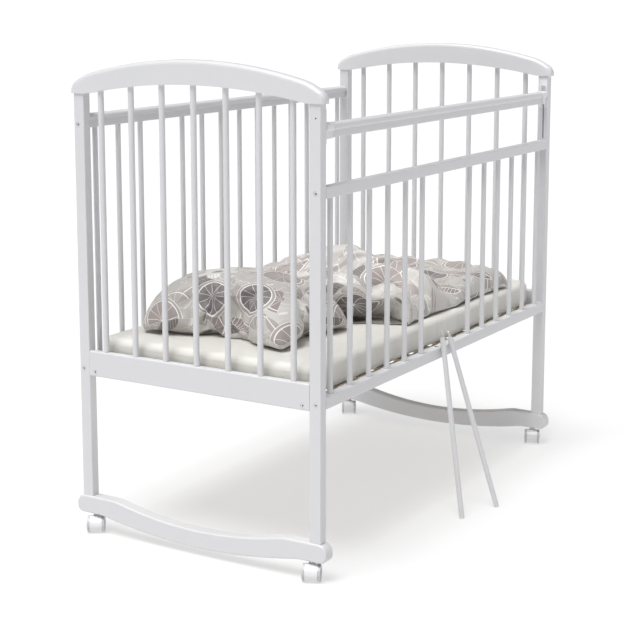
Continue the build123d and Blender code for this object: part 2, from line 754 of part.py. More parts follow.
# ---- Mattress base: two long bars, two end bars and the slats ----
long_bar_x = outer_x - end_rail_thickness - base_bar_gap
long_bar_reach = base_bar_reach - base_bar_width / 2
base_bar_middle = base_bar_z + base_bar_height / 2
with BuildPart() as long_bars:
    with BuildSketch(Plane.YZ.offset(-long_bar_x)):
        for side_name, side in sides:
            with Locations((mid_y + side * long_bar_reach, base_bar_middle)):
                Rectangle(base_bar_width, base_bar_height)
    extrude(amount=2 * long_bar_x)
    for end_name, end in ends:
        with BuildSketch(Plane.YZ.offset(end * long_bar_x)):
            for side_name, side in sides:
                with Locations((mid_y + side * base_bolt_reach, base_bolt_z)):
                    Circle(bolt_radius + glue_gap)
        extrude(amount=-end * (base_bolt_length + 2 - end_rail_thickness), mode=Mode.SUBTRACT)
save(long_bars.part, "base_long_bars")

end_bar_length = 2 * (base_bar_reach - base_bar_width)
with BuildPart() as end_bars:
    with BuildSketch(Plane.XY.offset(base_bar_z)):
        for end_name, end in ends:
            with Locations((end * (long_bar_x - base_bar_width / 2), mid_y)):
                Rectangle(base_bar_width, end_bar_length)
    extrude(amount=base_bar_height)
save(end_bars.part, "base_end_bars")

with BuildPart() as slats:
    with BuildSketch(Plane.XZ.offset(-(mid_y - base_bar_reach))):
        with Locations(*[(x, slat_top - slat_thickness / 2) for x in rod_places(slat_count, slat_pitch)]):
            RectangleRounded(slat_width, slat_thickness, slat_round)
    extrude(amount=-2 * base_bar_reach)
save(slats.part, "base_slats")

# ---- Mattress, pillow and duvet as plain closed solids ----
with BuildPart() as mattress:
    with BuildSketch(Plane.XY.offset(mattress_bottom)):
        with Locations((0, mid_y)):
            RectangleRounded(mattress_length, mattress_width, mattress_corner)
    extrude(amount=mattress_height)
    rims = mattress.faces().filter_by(Axis.Z).edges()
    fillet(rims, radius=mattress_edge)
save(mattress.part, "mattress")

pillow_bottom = mattress_top + soft_gap
with BuildPart() as pillow:
    with BuildSketch(Plane.XY.offset(pillow_bottom)):
        with Locations((pillow_middle[0], mid_y + pillow_middle[1])):
            RectangleRounded(pillow_size[0], pillow_size[1], pillow_corner)
    extrude(amount=pillow_size[2])
    fillet(pillow.faces().sort_by(Axis.Z)[-1].edges(), radius=pillow_edge)
save(pillow.part, "pillow")

with BuildPart() as duvet:
    with BuildSketch(Plane.XZ.offset(-(mid_y + duvet_front))) as duvet_side:
        with BuildLine():
            Polyline(*[(x, pillow_bottom + height) for x, height in duvet_profile], close=True)
        make_face()
        crest = duvet_side.vertices().filter_by(lambda v: v.Y > pillow_bottom + 1)
        fillet(crest, radius=duvet_bend)
    extrude(amount=duvet_front - duvet_back)
    side_faces = duvet.faces().filter_by(Axis.Y)
    fillet(side_faces.edges().filter_by(lambda e: e.center().Z > pillow_bottom + 1), radius=duvet_edge)
save(duvet.part, "duvet")

# ---- Casters: a hood on a swivelling stem, with twin wheels on one axle ----
for end_name, end in ends:
    for side_name, side in sides:
        place = f"{end_name}_{side_name}"
        stem_x = end * caster_x
        stem_y = mid_y + side * caster_reach
        axle_x = stem_x - caster_trail
        middle = Plane.XZ.offset(-stem_y)
        swivel = Axis((stem_x, stem_y, 0), (0, 0, 1))
        turn = caster_turns[place]

        with BuildPart() as hood:
            for radius, hollow, half_width in (
                (fender_radius, fender_inner_radius, fender_half_width),
                (fender_inner_radius, 0, web_half_width),
            ):
                with BuildSketch(middle):
                    with Locations((axle_x, wheel_radius)):
                        Circle(radius)
                        if hollow:
                            Circle(hollow, mode=Mode.SUBTRACT)
                    with Locations((axle_x, hood_front_bottom / 2 - wheel_radius / 2)):
                        Rectangle(3 * wheel_radius, hood_front_bottom + wheel_radius, mode=Mode.SUBTRACT)
                    with Locations((axle_x + wheel_radius + hub_radius, 0)):
                        Rectangle(2 * wheel_radius, 2 * hood_rear_bottom, mode=Mode.SUBTRACT)
                extrude(amount=half_width, both=True)
            with BuildSketch(Plane.XY.offset(boss_top)):
                with Locations((stem_x, stem_y)):
                    Circle(caster_boss_radius)
            extrude(amount=-(boss_top - stem_bottom + 1))
            with BuildSketch(middle):
                with Locations((axle_x, wheel_radius)):
                    Circle(axle_bore_radius)
            extrude(amount=web_half_width, both=True, mode=Mode.SUBTRACT)
            with BuildSketch(Plane.XY.offset(boss_top)):
                with Locations((stem_x, stem_y)):
                    Circle(stem_radius)
            extrude(amount=-(boss_top - stem_bottom), mode=Mode.SUBTRACT)
            with BuildSketch(Plane.XY.offset(stem_bottom)):
                with Locations((stem_x, stem_y)):
                    Circle(stem_tang_radius)
            extrude(amount=-(stem_bottom - stem_tang_bottom), mode=Mode.SUBTRACT)
        save(hood.part.rotate(swivel, turn), f"caster_hood_{place}")

        with BuildPart() as stem:
            for bottom, height, radius in (
                (stem_tang_bottom, stem_bottom - stem_tang_bottom, stem_tang_radius),
                (stem_bottom, stem_top - stem_bottom, stem_radius),
                (boss_top, collar_height, collar_radius),
            ):
                with BuildSketch(Plane.XY.offset(bottom)):
                    with Locations((stem_x, stem_y)):
                        Circle(radius)
                extrude(amount=height)
            chamfer(stem.edges().sort_by(Axis.Z)[-1], length=1)
        save(stem.part, f"caster_stem_{place}")

        with BuildPart() as wheels:
            for wheel_side in (-1, 1):
                for start, stop, radius in (
                    (wheel_inside, wheel_rim_inside, wheel_inner_radius),
                    (wheel_rim_inside, wheel_outside, wheel_radius),
                    (wheel_outside, wheel_outside + hub_step, hub_radius),
                ):
                    with BuildSketch(Plane.XZ.offset(-(stem_y + wheel_side * start))):
                        with Locations((axle_x, wheel_radius)):
                            Circle(radius)
                    extrude(amount=-wheel_side * (stop - start))
            rims = wheels.edges().filter_by(
                lambda e: e.geom_type == GeomType.CIRCLE
                and abs(e.radius - wheel_radius) < 1e-6
                and abs(abs(e.center().Y - stem_y) - wheel_outside) < 1e-6
            )
            fillet(rims, radius=wheel_round)
            with BuildSketch(middle):
                with Locations((axle_x, wheel_radius)):
                    Circle(axle_radius)
            extrude(amount=wheel_outside - 1, both=True, mode=Mode.SUBTRACT)
        save(wheels.part.rotate(swivel, turn), f"caster_wheels_{place}")

        with BuildPart() as axle:
            with BuildSketch(middle):
                with Locations((axle_x, wheel_radius)):
                    Circle(axle_radius)
            extrude(amount=wheel_outside - 1, both=True)
        save(axle.part.rotate(swivel, turn), f"caster_axle_{place}")

with BuildPart() as sleeves:
    for end_name, end in ends:
        for side_name, side in sides:
            for bottom, top, radius in (
                (rocker_end_bottom - sleeve_flange_height, rocker_end_bottom, sleeve_flange_radius),
                (rocker_end_bottom, sleeve_top, sleeve_radius),
            ):
                with BuildSketch(Plane.XY.offset(bottom)):
                    with Locations((end * caster_x, mid_y + side * caster_reach)):
                        Circle(radius)
                        Circle(sleeve_bore_radius, mode=Mode.SUBTRACT)
                extrude(amount=top - bottom)
save(sleeves.part, "caster_sleeves")
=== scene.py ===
import json
import math

import bpy
import numpy as np
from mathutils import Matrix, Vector, noise


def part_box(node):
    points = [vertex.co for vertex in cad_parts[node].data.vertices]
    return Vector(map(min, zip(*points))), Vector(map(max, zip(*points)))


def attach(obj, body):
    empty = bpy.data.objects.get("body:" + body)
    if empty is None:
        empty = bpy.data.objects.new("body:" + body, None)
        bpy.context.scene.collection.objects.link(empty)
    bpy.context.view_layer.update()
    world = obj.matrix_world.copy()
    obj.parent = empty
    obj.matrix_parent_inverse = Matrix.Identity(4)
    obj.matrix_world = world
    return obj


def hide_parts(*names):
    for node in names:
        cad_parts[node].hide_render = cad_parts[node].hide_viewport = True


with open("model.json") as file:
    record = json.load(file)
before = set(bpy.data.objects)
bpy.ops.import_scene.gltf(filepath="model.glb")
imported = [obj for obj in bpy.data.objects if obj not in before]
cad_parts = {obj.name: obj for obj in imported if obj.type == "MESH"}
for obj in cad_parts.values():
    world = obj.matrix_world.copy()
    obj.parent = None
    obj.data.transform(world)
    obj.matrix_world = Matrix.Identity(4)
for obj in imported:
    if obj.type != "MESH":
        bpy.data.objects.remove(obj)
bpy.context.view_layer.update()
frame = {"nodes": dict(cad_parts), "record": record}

scene = bpy.context.scene
nodes = frame["nodes"]
print("frame loaded with", len(nodes), "parts")


# A wire is one output of a shader node, and sums on wires add Math nodes.
class Wire:
    def __init__(self, finish, socket):
        self.finish = finish
        self.socket = socket

    def do(self, operation, *others):
        sockets = dict(enumerate((self, *others)))
        return self.finish.add("ShaderNodeMath", {"operation": operation}, sockets)

    def after(self, operation, other):
        return self.finish.add("ShaderNodeMath", {"operation": operation}, {0: other, 1: self})

    def other(self, name):
        return Wire(self.finish, self.socket.node.outputs[name])

    def __add__(self, other):
        return self.do("ADD", other)

    def __radd__(self, other):
        return self.after("ADD", other)

    def __sub__(self, other):
        return self.do("SUBTRACT", other)

    def __rsub__(self, other):
        return self.after("SUBTRACT", other)

    def __mul__(self, other):
        return self.do("MULTIPLY", other)

    def __rmul__(self, other):
        return self.after("MULTIPLY", other)

    def __truediv__(self, other):
        return self.do("DIVIDE", other)

    def __rtruediv__(self, other):
        return self.after("DIVIDE", other)

    def __lt__(self, other):
        return self.do("LESS_THAN", other)

    def __gt__(self, other):
        return self.do("GREATER_THAN", other)

    def __abs__(self):
        return self.do("ABSOLUTE")


class Finish:
    def __init__(self, name, tree=None):
        self.tree = tree
        if not tree:
            self.material = bpy.data.materials.new(name)
            self.material.use_nodes = True
            self.tree = self.material.node_tree
            self.surface = self.tree.nodes["Principled BSDF"]

    def feed(self, socket, value):
        if isinstance(value, Wire):
            self.tree.links.new(value.socket, socket)
        elif socket.type == "RGBA":
            socket.default_value = (*value[:3], 1)
        else:
            socket.default_value = value

    def add(self, kind, settings=None, sockets=None, output=0):
        node = self.tree.nodes.new(kind)
        for key, value in (settings or {}).items():
            setattr(node, key, value)
        for key, value in (sockets or {}).items():
            self.feed(node.inputs[key], value)
        return Wire(self, node.outputs[output])

    def mix(self, factor, first, second):
        return self.add("ShaderNodeMix", {"data_type": "RGBA"}, {0: factor, 6: first, 7: second}, 2)

    def noise(self, place, scale, detail=2, roughness=0.5):
        return self.add("ShaderNodeTexNoise", {}, {
            "Vector": place, "Scale": scale, "Detail": detail, "Roughness": roughness})

    def ramp(self, value, low, high, start=0, end=1):
        return self.add("ShaderNodeMapRange", {"interpolation_type": "SMOOTHSTEP"}, {
            "Value": value, "From Min": low, "From Max": high, "To Min": start, "To Max": end})

    def place(self, scale=(1, 1, 1)):
        spot = self.add("ShaderNodeTexCoord", output="Object")
        return self.add("ShaderNodeMapping", {}, {"Vector": spot, "Scale": scale})

    def bump(self, height, strength, distance, normal=None):
        sockets = {"Strength": strength, "Distance": distance, "Height": height}
        if normal:
            sockets["Normal"] = normal
        return self.add("ShaderNodeBump", {}, sockets)

    def cover(self, **values):
        for key, value in values.items():
            name = {"sheen": "Sheen Weight", "sheenRoughness": "Sheen Roughness", "colour": "Base Color",
                    "coat": "Coat Weight", "coatRoughness": "Coat Roughness",
                    "glow": "Emission Color", "glowStrength": "Emission Strength",
                    "specular": "Specular IOR Level"}.get(key, key.capitalize())
            self.feed(self.surface.inputs[name], value)
        return self.material


paintLook = {"shade": (0.64, 0.64, 0.658), "light": (0.675, 0.675, 0.69), "roughness": 0.34,
             "grainScale": 260, "alongGrain": 0.05, "skinScale": 700, "cloudScale": 7,
             "coat": 0.25, "coatRoughness": 0.22}


def whitePaint(name, axis):
    paint = Finish(name)
    scale = [1, 1, 1]
    scale[axis] = paintLook["alongGrain"]
    spot = paint.place()
    grain = paint.noise(paint.place(scale), paintLook["grainScale"], 4, 0.6)
    skin = paint.noise(spot, paintLook["skinScale"], 2)
    cloud = paint.noise(spot, paintLook["cloudScale"], 3)
    brushed = paint.bump(grain, 0.10, 0.0004)
    return paint.cover(
        colour=paint.mix(cloud * 0.7 + grain * 0.3, paintLook["shade"], paintLook["light"]),
        roughness=paint.ramp(skin + cloud * 0.5, 0.4, 1.1, paintLook["roughness"] - 0.05,
                             paintLook["roughness"] + 0.08),
        coat=paintLook["coat"], coatRoughness=paintLook["coatRoughness"],
        normal=paint.bump(skin, 0.12, 0.0002, brushed))


slatLook = {"early": (0.80, 0.74, 0.64), "late": (0.70, 0.62, 0.50), "pore": (0.50, 0.42, 0.33), "rings": 34}


def planedBirch(name, axis):
    wood = Finish(name)
    scale = [1, 1, 1]
    scale[axis] = 0.07
    long = wood.place(scale)
    waves = wood.noise(long, 22, 4, 0.55)
    rings = (waves * slatLook["rings"]).do("SINE") * 0.5 + 0.5
    pores = wood.noise(long, 900, 3, 0.7)
    body = wood.mix(rings * 0.6, slatLook["early"], slatLook["late"])
    return wood.cover(
        colour=wood.mix(wood.ramp(pores, 0.62, 0.72, 0, 0.6), body, slatLook["pore"]),
        roughness=wood.ramp(pores, 0.3, 0.8, 0.55, 0.72),
        normal=wood.bump(pores, 0.35, 0.0004))


plasticLook = {
    "moulded_white": {"light": (0.80, 0.80, 0.815), "dark": (0.74, 0.74, 0.755), "roughness": 0.42, "pits": 1400},
    "caster_white": {"light": (0.80, 0.80, 0.81), "dark": (0.73, 0.73, 0.745), "roughness": 0.3, "pits": 700},
    "button_grey": {"light": (0.52, 0.52, 0.54), "dark": (0.44, 0.44, 0.46), "roughness": 0.4, "pits": 1400},
    "wheel_grey": {"light": (0.60, 0.60, 0.61), "dark": (0.48, 0.48, 0.49), "roughness": 0.38, "pits": 900},
}


def mouldedPlastic(name):
    look = plasticLook[name]
    plastic = Finish(name)
    spot = plastic.place()
    pits = plastic.noise(spot, look["pits"], 2)
    cloud = plastic.noise(spot, 60, 3)
    return plastic.cover(
        colour=plastic.mix(cloud, look["dark"], look["light"]),
        roughness=plastic.ramp(pits, 0.3, 0.7, look["roughness"] - 0.06, look["roughness"] + 0.08),
        specular=0.5, normal=plastic.bump(pits, 0.25, 0.0002))


steelLook = {"zinc": {"light": (0.80, 0.80, 0.81), "dark": (0.62, 0.62, 0.64), "roughness": 0.45},
             "spring": {"light": (0.42, 0.42, 0.43), "dark": (0.24, 0.24, 0.25), "roughness": 0.3}}


def platedSteel(name):
    look = steelLook[name]
    steel = Finish(name + "_steel")
    spot = steel.place()
    drawn = steel.noise(steel.place((1, 1, 0.06)), 1800, 3)
    stain = steel.noise(spot, 240, 3)
    return steel.cover(
        colour=steel.mix(stain, look["dark"], look["light"]), metallic=1.0,
        roughness=steel.ramp(drawn + stain * 0.5, 0.5, 1.0, look["roughness"] - 0.08, look["roughness"] + 0.16),
        normal=steel.bump(drawn, 0.3, 0.0002))


coverLook = {"light": (0.755, 0.74, 0.70), "shade": (0.68, 0.662, 0.615), "weave": 1500, "slub": 160}


def quiltedCotton(name):
    cotton = Finish(name)
    spot = cotton.place()
    threads = cotton.add("ShaderNodeTexVoronoi", {"feature": "F1"}, {
        "Vector": spot, "Scale": coverLook["weave"], "Randomness": 0.35})
    slub = cotton.noise(spot, coverLook["slub"], 4, 0.6)
    cloud = cotton.noise(spot, 9, 3)
    return cotton.cover(
        colour=cotton.mix(slub * 0.5 + cloud * 0.5, coverLook["shade"], coverLook["light"]),
        roughness=cotton.ramp(threads, 0, 0.8, 0.82, 0.94), sheen=0.35, sheenRoughness=0.45,
        normal=cotton.bump(threads, 0.3, 0.0004, cotton.bump(slub, 0.2, 0.0012)))


# The print is drawn on the cloth's own flat coordinates, in metres.
printLook = {
    "ground": (0.47, 0.45, 0.425), "mist": (0.57, 0.55, 0.525), "taupe": (0.30, 0.255, 0.245),
    "greige": (0.395, 0.355, 0.335), "ink": (0.19, 0.17, 0.17), "chalk": (0.82, 0.81, 0.79),
    "motifs": 6.8, "petals": 9.2, "sprigs": 13.5, "roughness": 0.5,
}


def printedSateen(name, shift):
    cloth = Finish(name)
    look = printLook
    flat = cloth.add("ShaderNodeUVMap", {"uv_map": "flatCloth"})
    wander = cloth.add("ShaderNodeTexNoise", {}, {"Vector": flat, "Scale": 9, "Detail": 2}, "Color")
    nudge = cloth.add("ShaderNodeVectorMath", {"operation": "SCALE"}, {0: wander, "Scale": 0.012})
    spot = cloth.add("ShaderNodeVectorMath", {"operation": "ADD"}, {0: flat, 1: nudge})
    spot = cloth.add("ShaderNodeVectorMath", {"operation": "ADD"}, {0: spot, 1: shift})

    def polar(scale, randomness):
        cell = cloth.add("ShaderNodeTexVoronoi", {"voronoi_dimensions": "2D"}, {
            "Vector": spot, "Scale": scale, "Randomness": randomness})
        away = cloth.add("ShaderNodeVectorMath", {"operation": "SUBTRACT"}, {
            0: spot, 1: cell.other("Position")})
        sized = cloth.add("ShaderNodeVectorMath", {"operation": "SCALE"}, {0: away, "Scale": scale})
        chance = cloth.add("ShaderNodeSeparateColor", {}, {0: cell.other("Color")})
        turned = cloth.add("ShaderNodeVectorRotate", {"rotation_type": "Z_AXIS"}, {
            "Vector": sized, "Angle": chance * 6.283})
        axes = cloth.add("ShaderNodeSeparateXYZ", {}, {0: turned})
        across = axes.other("Y")
        radius = cloth.add("ShaderNodeVectorMath", {"operation": "LENGTH"}, {0: sized}, "Value")
        return axes, across, radius, across.do("ARCTAN2", axes), chance.other("Green"), chance.other("Blue")

    def band(value, middle, width):
        return abs(value - middle) < width

    # large motifs: a citrus slice, an open flower or a pair of leaves in each cell
    along, across, radius, angle, kind, tone = polar(look["motifs"], 0.62)
    isSlice = kind < 0.52
    isFlower = (kind > 0.52) * (kind < 0.66)
    isLeaf = kind > 0.66
    inside = radius < 0.40
    spokes = abs((angle * 5.5).do("SINE")) * radius < 0.020
    streaks = cloth.noise(flat, 240, 2) * 0.5 + abs((angle * 33).do("SINE")) * 0.25
    pulp = cloth.mix(streaks, look["taupe"], look["greige"])
    pulp = cloth.mix(tone > 0.72, pulp, look["ink"])
    citrus = cloth.mix(radius < 0.325, look["greige"], pulp)
    lines = ((spokes * (radius < 0.325) + band(radius, 0.335, 0.010) + band(radius, 0.40, 0.011)
              + (radius < 0.045)) > 0.5)
    citrus = cloth.mix(lines, citrus, look["chalk"])
    petal = abs((angle * 2.5).do("COSINE")) * 0.17 + 0.23
    veins = (abs((angle * 17).do("SINE")) < 0.16) * (radius > 0.12)
    flower = cloth.mix(tone, look["chalk"], look["mist"])
    flower = cloth.mix(veins, flower, look["greige"])
    flower = cloth.mix(radius < 0.085, flower, look["ink"])
    flower = cloth.mix(band(radius, 0.10, 0.012), flower, look["taupe"])
    flower = cloth.mix(band(radius, petal, 0.010), flower, look["taupe"])
    blade = 0.17 - along * along * 0.92
    leafEdge = abs(across) - blade
    ribs = (abs((along * 46 + abs(across) * 40).do("SINE")) < 0.20) + (abs(across) < 0.008) > 0.5
    leaf = cloth.mix(tone > 0.5, look["taupe"], look["mist"])
    leaf = cloth.mix(ribs, leaf, look["chalk"])
    leaf = cloth.mix(band(leafEdge, 0, 0.009), leaf, look["chalk"])

    # a second layer of halved slices and broad leaves, half hidden under the first
    mAlong, mAcross, mRadius, mAngle, mKind, mTone = polar(look["petals"], 0.9)
    isHalf = (mKind < 0.5) * (mRadius < 0.42) * (mAcross > 0)
    broad = abs(mAcross) - (0.24 - mAlong * mAlong * 1.1)
    isBroad = (mKind > 0.5) * (broad < 0)
    rays = (abs((mAngle * 6).do("SINE")) * mRadius < 0.022) + band(mRadius, 0.36, 0.012) > 0.5
    fan = (abs((mAlong * 30 + abs(mAcross) * 34).do("SINE")) < 0.16) + band(broad, 0, 0.010) > 0.5
    half = cloth.mix(mTone > 0.6, look["taupe"], look["greige"])
    half = cloth.mix(rays, half, look["chalk"])
    broadLeaf = cloth.mix(mTone > 0.45, look["greige"], look["ink"])
    broadLeaf = cloth.mix(mTone > 0.80, broadLeaf, look["mist"])
    broadLeaf = cloth.mix(fan, broadLeaf, look["mist"])

    # small sprigs between them, and sketched contour lines under everything
    sAlong, sAcross, sRadius, _, sKind, sTone = polar(look["sprigs"], 0.8)
    sprigEdge = abs(sAcross) - (0.15 - sAlong * sAlong * 0.8)
    sprig = cloth.mix(sTone > 0.4, look["greige"], look["mist"])
    sprig = cloth.mix(abs(sAcross) < 0.014, sprig, look["chalk"])
    dots = (sRadius < 0.12) * (sKind > 0.62)
    drift = cloth.noise(spot, 6, 3, 0.55)
    contour = abs((drift * 46).do("SINE")) < 0.11
    ground = cloth.mix(cloth.ramp(drift, 0.42, 0.62), look["ground"], look["mist"])
    ground = cloth.mix(contour * 0.65, ground, look["chalk"])
    ground = cloth.mix((sprigEdge < 0) * (sKind < 0.62), ground, sprig)
    ground = cloth.mix(dots, ground, look["taupe"])
    ground = cloth.mix(isBroad, ground, broadLeaf)
    ground = cloth.mix(isHalf, ground, half)
    colour = cloth.mix(isSlice * inside, ground, citrus)
    colour = cloth.mix(isFlower * (radius < petal), colour, flower)
    colour = cloth.mix(isLeaf * (leafEdge < 0), colour, leaf)

    threads = cloth.add("ShaderNodeTexWave", {"wave_type": "BANDS", "bands_direction": "DIAGONAL"}, {
        "Vector": flat, "Scale": 420, "Distortion": 1.2, "Detail": 1})
    slub = cloth.noise(flat, 380, 3, 0.6)
    creases = cloth.noise(cloth.place(), 34, 4, 0.55)
    soft = cloth.bump(creases, 0.22, 0.004)
    return cloth.cover(
        colour=colour, roughness=cloth.ramp(slub, 0.3, 0.7, look["roughness"] - 0.06, look["roughness"] + 0.08),
        sheen=0.25, sheenRoughness=0.35, specular=0.45,
        normal=cloth.bump(threads, 0.12, 0.0002, cloth.bump(slub, 0.18, 0.0004, soft)))


finishes = {
    "paintX": whitePaint("white_paint_along", 0), "paintY": whitePaint("white_paint_across", 1),
    "paintZ": whitePaint("white_paint_upright", 2),
    "birchX": planedBirch("birch_bars", 0), "birchY": planedBirch("birch_slats", 1),
    "plastic": mouldedPlastic("moulded_white"), "caster": mouldedPlastic("caster_white"),
    "button": mouldedPlastic("button_grey"), "wheel": mouldedPlastic("wheel_grey"),
    "zinc": platedSteel("zinc"), "spring": platedSteel("spring"),
    "cover": quiltedCotton("ivory_cotton"), "thread": quiltedCotton("seam_thread"),
}
print("finishes made")


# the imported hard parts, each with its finish
def finishFor(name):
    slot = slotOf[name]
    if slot == "white_paint":
        if "arch" in name or "rocker" in name or "lower_rail" in name:
            return "paintY"
        if "post" in name or "rods" in name or "rod_" in name:
            return "paintZ"
        return "paintX"
    if slot == "bare_wood":
        return "birchY" if "slats" in name or "end_bars" in name else "birchX"
    if "button_" in name and "spring" not in name:
        return "button"
    return {"white_plastic": "plastic", "caster_plastic": "caster", "caster_wheel": "wheel",
            "zinc_steel": "zinc", "spring_steel": "spring"}.get(slot, "cover")


slotOf = {part["node"]: part["material_slot"] for part in frame["record"]["subparts"]}
for name, part in nodes.items():
    part.data.materials.clear()
    part.data.materials.append(finishes[finishFor(name)])
print("hard parts finished")


# shared ways to make cloth
def gridFaces(columns, rows, number, flip=False):
    faces = []
    for i in range(columns):
        for j in range(rows):
            face = [number(i, j), number(i + 1, j), number(i + 1, j + 1), number(i, j + 1)]
            faces.append(face[::-1] if flip else face)
    return faces


def borderCells(columns, rows):
    border = [(i, 0) for i in range(columns)] + [(columns, j) for j in range(rows)]
    border += [(i, rows) for i in range(columns, 0, -1)] + [(0, j) for j in range(rows, 0, -1)]
    return border


def newPiece(name, points, faces, material):
    mesh = bpy.data.meshes.new(name)
    mesh.from_pydata([tuple(map(float, point)) for point in points], [], faces)
    mesh.validate()
    mesh.shade_smooth()
    piece = bpy.data.objects.new(name, mesh)
    scene.collection.objects.link(piece)
    mesh.materials.append(material)
    return piece


# A bag is two sheets sewn along their border; their flat coordinates become the cloth's UV map.
def sewnBag(name, columns, rows, size, shape, material):
    top = (columns + 1) * (rows + 1)
    inner = {}
    for i in range(1, columns):
        for j in range(1, rows):
            inner[i, j] = top + len(inner)

    def upper(i, j):
        return i * (rows + 1) + j

    def lower(i, j):
        return inner.get((i, j), upper(i, j))

    points = [shape(i / columns, j / rows, 1) for i in range(columns + 1) for j in range(rows + 1)]
    points += [shape(i / columns, j / rows, -1) for i in range(1, columns) for j in range(1, rows)]
    upperFaces = gridFaces(columns, rows, upper)
    lowerFaces = gridFaces(columns, rows, lower, flip=True)
    piece = newPiece(name, points, upperFaces + lowerFaces, material)
    layer = piece.data.uv_layers.new(name="flatCloth")
    cell = (size[0] / columns, size[1] / rows)
    corners = []
    for side, flip in ((0, False), (1, True)):
        for i in range(columns):
            for j in range(rows):
                ring = [(i, j), (i + 1, j), (i + 1, j + 1), (i, j + 1)]
                for a, b in (ring[::-1] if flip else ring):
                    corners += [a * cell[0] + side * (size[0] + 0.2), b * cell[1]]
    layer.data.foreach_set("uv", corners)
    border = [upper(i, j) for i, j in borderCells(columns, rows)]
    return piece, border


def readPoints(mesh):
    points = np.zeros(len(mesh.vertices) * 3)
    mesh.vertices.foreach_get("co", points)
    return points.reshape(-1, 3)


def writePoints(mesh, points):
    mesh.vertices.foreach_set("co", np.asarray(points, float).ravel())
    mesh.update()


def simulate(piece, look, pinned=None):
    start = readPoints(piece.data)
    cloth = piece.modifiers.new("cloth", "CLOTH")
    cloth.settings.quality = look["quality"]
    cloth.settings.mass = look["mass"]
    cloth.settings.tension_stiffness = look["tension"]
    cloth.settings.compression_stiffness = look["tension"]
    cloth.settings.shear_stiffness = look["shear"]
    cloth.settings.bending_stiffness = look["bending"]
    cloth.settings.air_damping = look["drag"]
    cloth.settings.use_pressure = True
    cloth.settings.uniform_pressure_force = look["pressure"]
    cloth.settings.shrink_min = -look["growth"]
    cloth.settings.effector_weights.gravity = 0
    cloth.collision_settings.use_collision = False
    if pinned is not None:
        group = piece.vertex_groups.new(name="pinned")
        group.add([int(index) for index in pinned], 1, "REPLACE")
        cloth.settings.vertex_group_mass = "pinned"
    cloth.point_cache.frame_start = 1
    cloth.point_cache.frame_end = look["frames"]
    for step in range(1, look["frames"] + 1):
        scene.frame_set(step)
    moved = readPoints(piece.evaluated_get(bpy.context.evaluated_depsgraph_get()).data)
    piece.modifiers.remove(cloth)
    scene.frame_set(1)
    return moved


def capped(start, moved, limit):
    step = moved - start
    length = np.linalg.norm(step, axis=1)
    share = limit * np.tanh(length / limit) / np.maximum(length, 1e-9)
    return start + step * share[:, None]


def restOn(points, floor, softness):
    # what would sink under the floor is laid flat on it, with a soft turn
    height = (points[:, 2] - floor) / softness
    points[:, 2] = floor + softness * np.logaddexp(0, height) - softness * np.log(2) * np.exp(-abs(height))
    return points


def roundOff(piece, levels):
    smooth = piece.modifiers.new("roundOff", "SUBSURF")
    smooth.levels = smooth.render_levels = levels
    bpy.context.view_layer.update()
    graph = bpy.context.evaluated_depsgraph_get()
    mesh = bpy.data.meshes.new_from_object(piece.evaluated_get(graph), depsgraph=graph)
    piece.modifiers.remove(smooth)
    piece.data = mesh
    mesh.shade_smooth()


# one node tree lays a thread along any closed seam
def stitchTree():
    tree = bpy.data.node_groups.new("stitches", "GeometryNodeTree")
    face = tree.interface
    face.new_socket("Geometry", in_out="INPUT", socket_type="NodeSocketGeometry")
    for name in ("Pitch", "Length", "Thread"):
        face.new_socket(name, in_out="INPUT", socket_type="NodeSocketFloat")
    face.new_socket("Finish", in_out="INPUT", socket_type="NodeSocketMaterial")
    face.new_socket("Geometry", in_out="OUTPUT", socket_type="NodeSocketGeometry")

    def node(kind, settings, **feeds):
        made = tree.nodes.new(kind)
        for key, value in settings.items():
            setattr(made, key, value)
        for key, value in feeds.items():
            socket = made.inputs[key.replace("_", " ")]
            if isinstance(value, bpy.types.NodeSocket):
                tree.links.new(value, socket)
            else:
                socket.default_value = value
        return made

    given = tree.nodes.new("NodeGroupInput").outputs
    seam = node("GeometryNodeMeshToCurve", {}, Mesh=given["Geometry"])
    spaced = node("GeometryNodeResampleCurve", {"mode": "LENGTH"}, Curve=seam.outputs[0], Length=given["Pitch"])
    thread = node("GeometryNodeMeshCylinder", {}, Vertices=8, Radius=given["Thread"], Depth=given["Length"])
    tangent = node("GeometryNodeInputTangent", {})
    turn = node("FunctionNodeAlignRotationToVector", {"axis": "Z"}, Vector=tangent.outputs[0])
    laid = node("GeometryNodeInstanceOnPoints", {}, Points=spaced.outputs[0], Instance=thread.outputs["Mesh"],
                Rotation=turn.outputs[0])
    real = node("GeometryNodeRealizeInstances", {}, Geometry=laid.outputs[0])
    made = node("GeometryNodeSetMaterial", {}, Geometry=real.outputs[0], Material=given["Finish"])
    tree.links.new(made.outputs[0], tree.nodes.new("NodeGroupOutput").inputs[0])
    return tree


stitchLook = {"Pitch": 0.0048, "Length": 0.0034, "Thread": 0.0005}
seamTree = stitchTree()


def stitched(name, path, finish, body):
    mesh = bpy.data.meshes.new(name)
    mesh.from_pydata([tuple(map(float, point)) for point in path],
                     [(k, (k + 1) % len(path)) for k in range(len(path))], [])
    seam = bpy.data.objects.new(name, mesh)
    scene.collection.objects.link(seam)
    laid = seam.modifiers.new("stitches", "NODES")
    laid.node_group = seamTree
    for socket in seamTree.interface.items_tree:
        if socket.in_out == "INPUT" and socket.name in stitchLook:
            laid[socket.identifier] = stitchLook[socket.name]
        elif socket.name == "Finish":
            laid[socket.identifier] = finish
    bpy.context.view_layer.update()
    graph = bpy.context.evaluated_depsgraph_get()
    made = bpy.data.meshes.new_from_object(seam.evaluated_get(graph), depsgraph=graph)
    seam.modifiers.remove(laid)
    seam.data = made
    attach(seam, body)
    print(name, len(made.polygons), "faces")


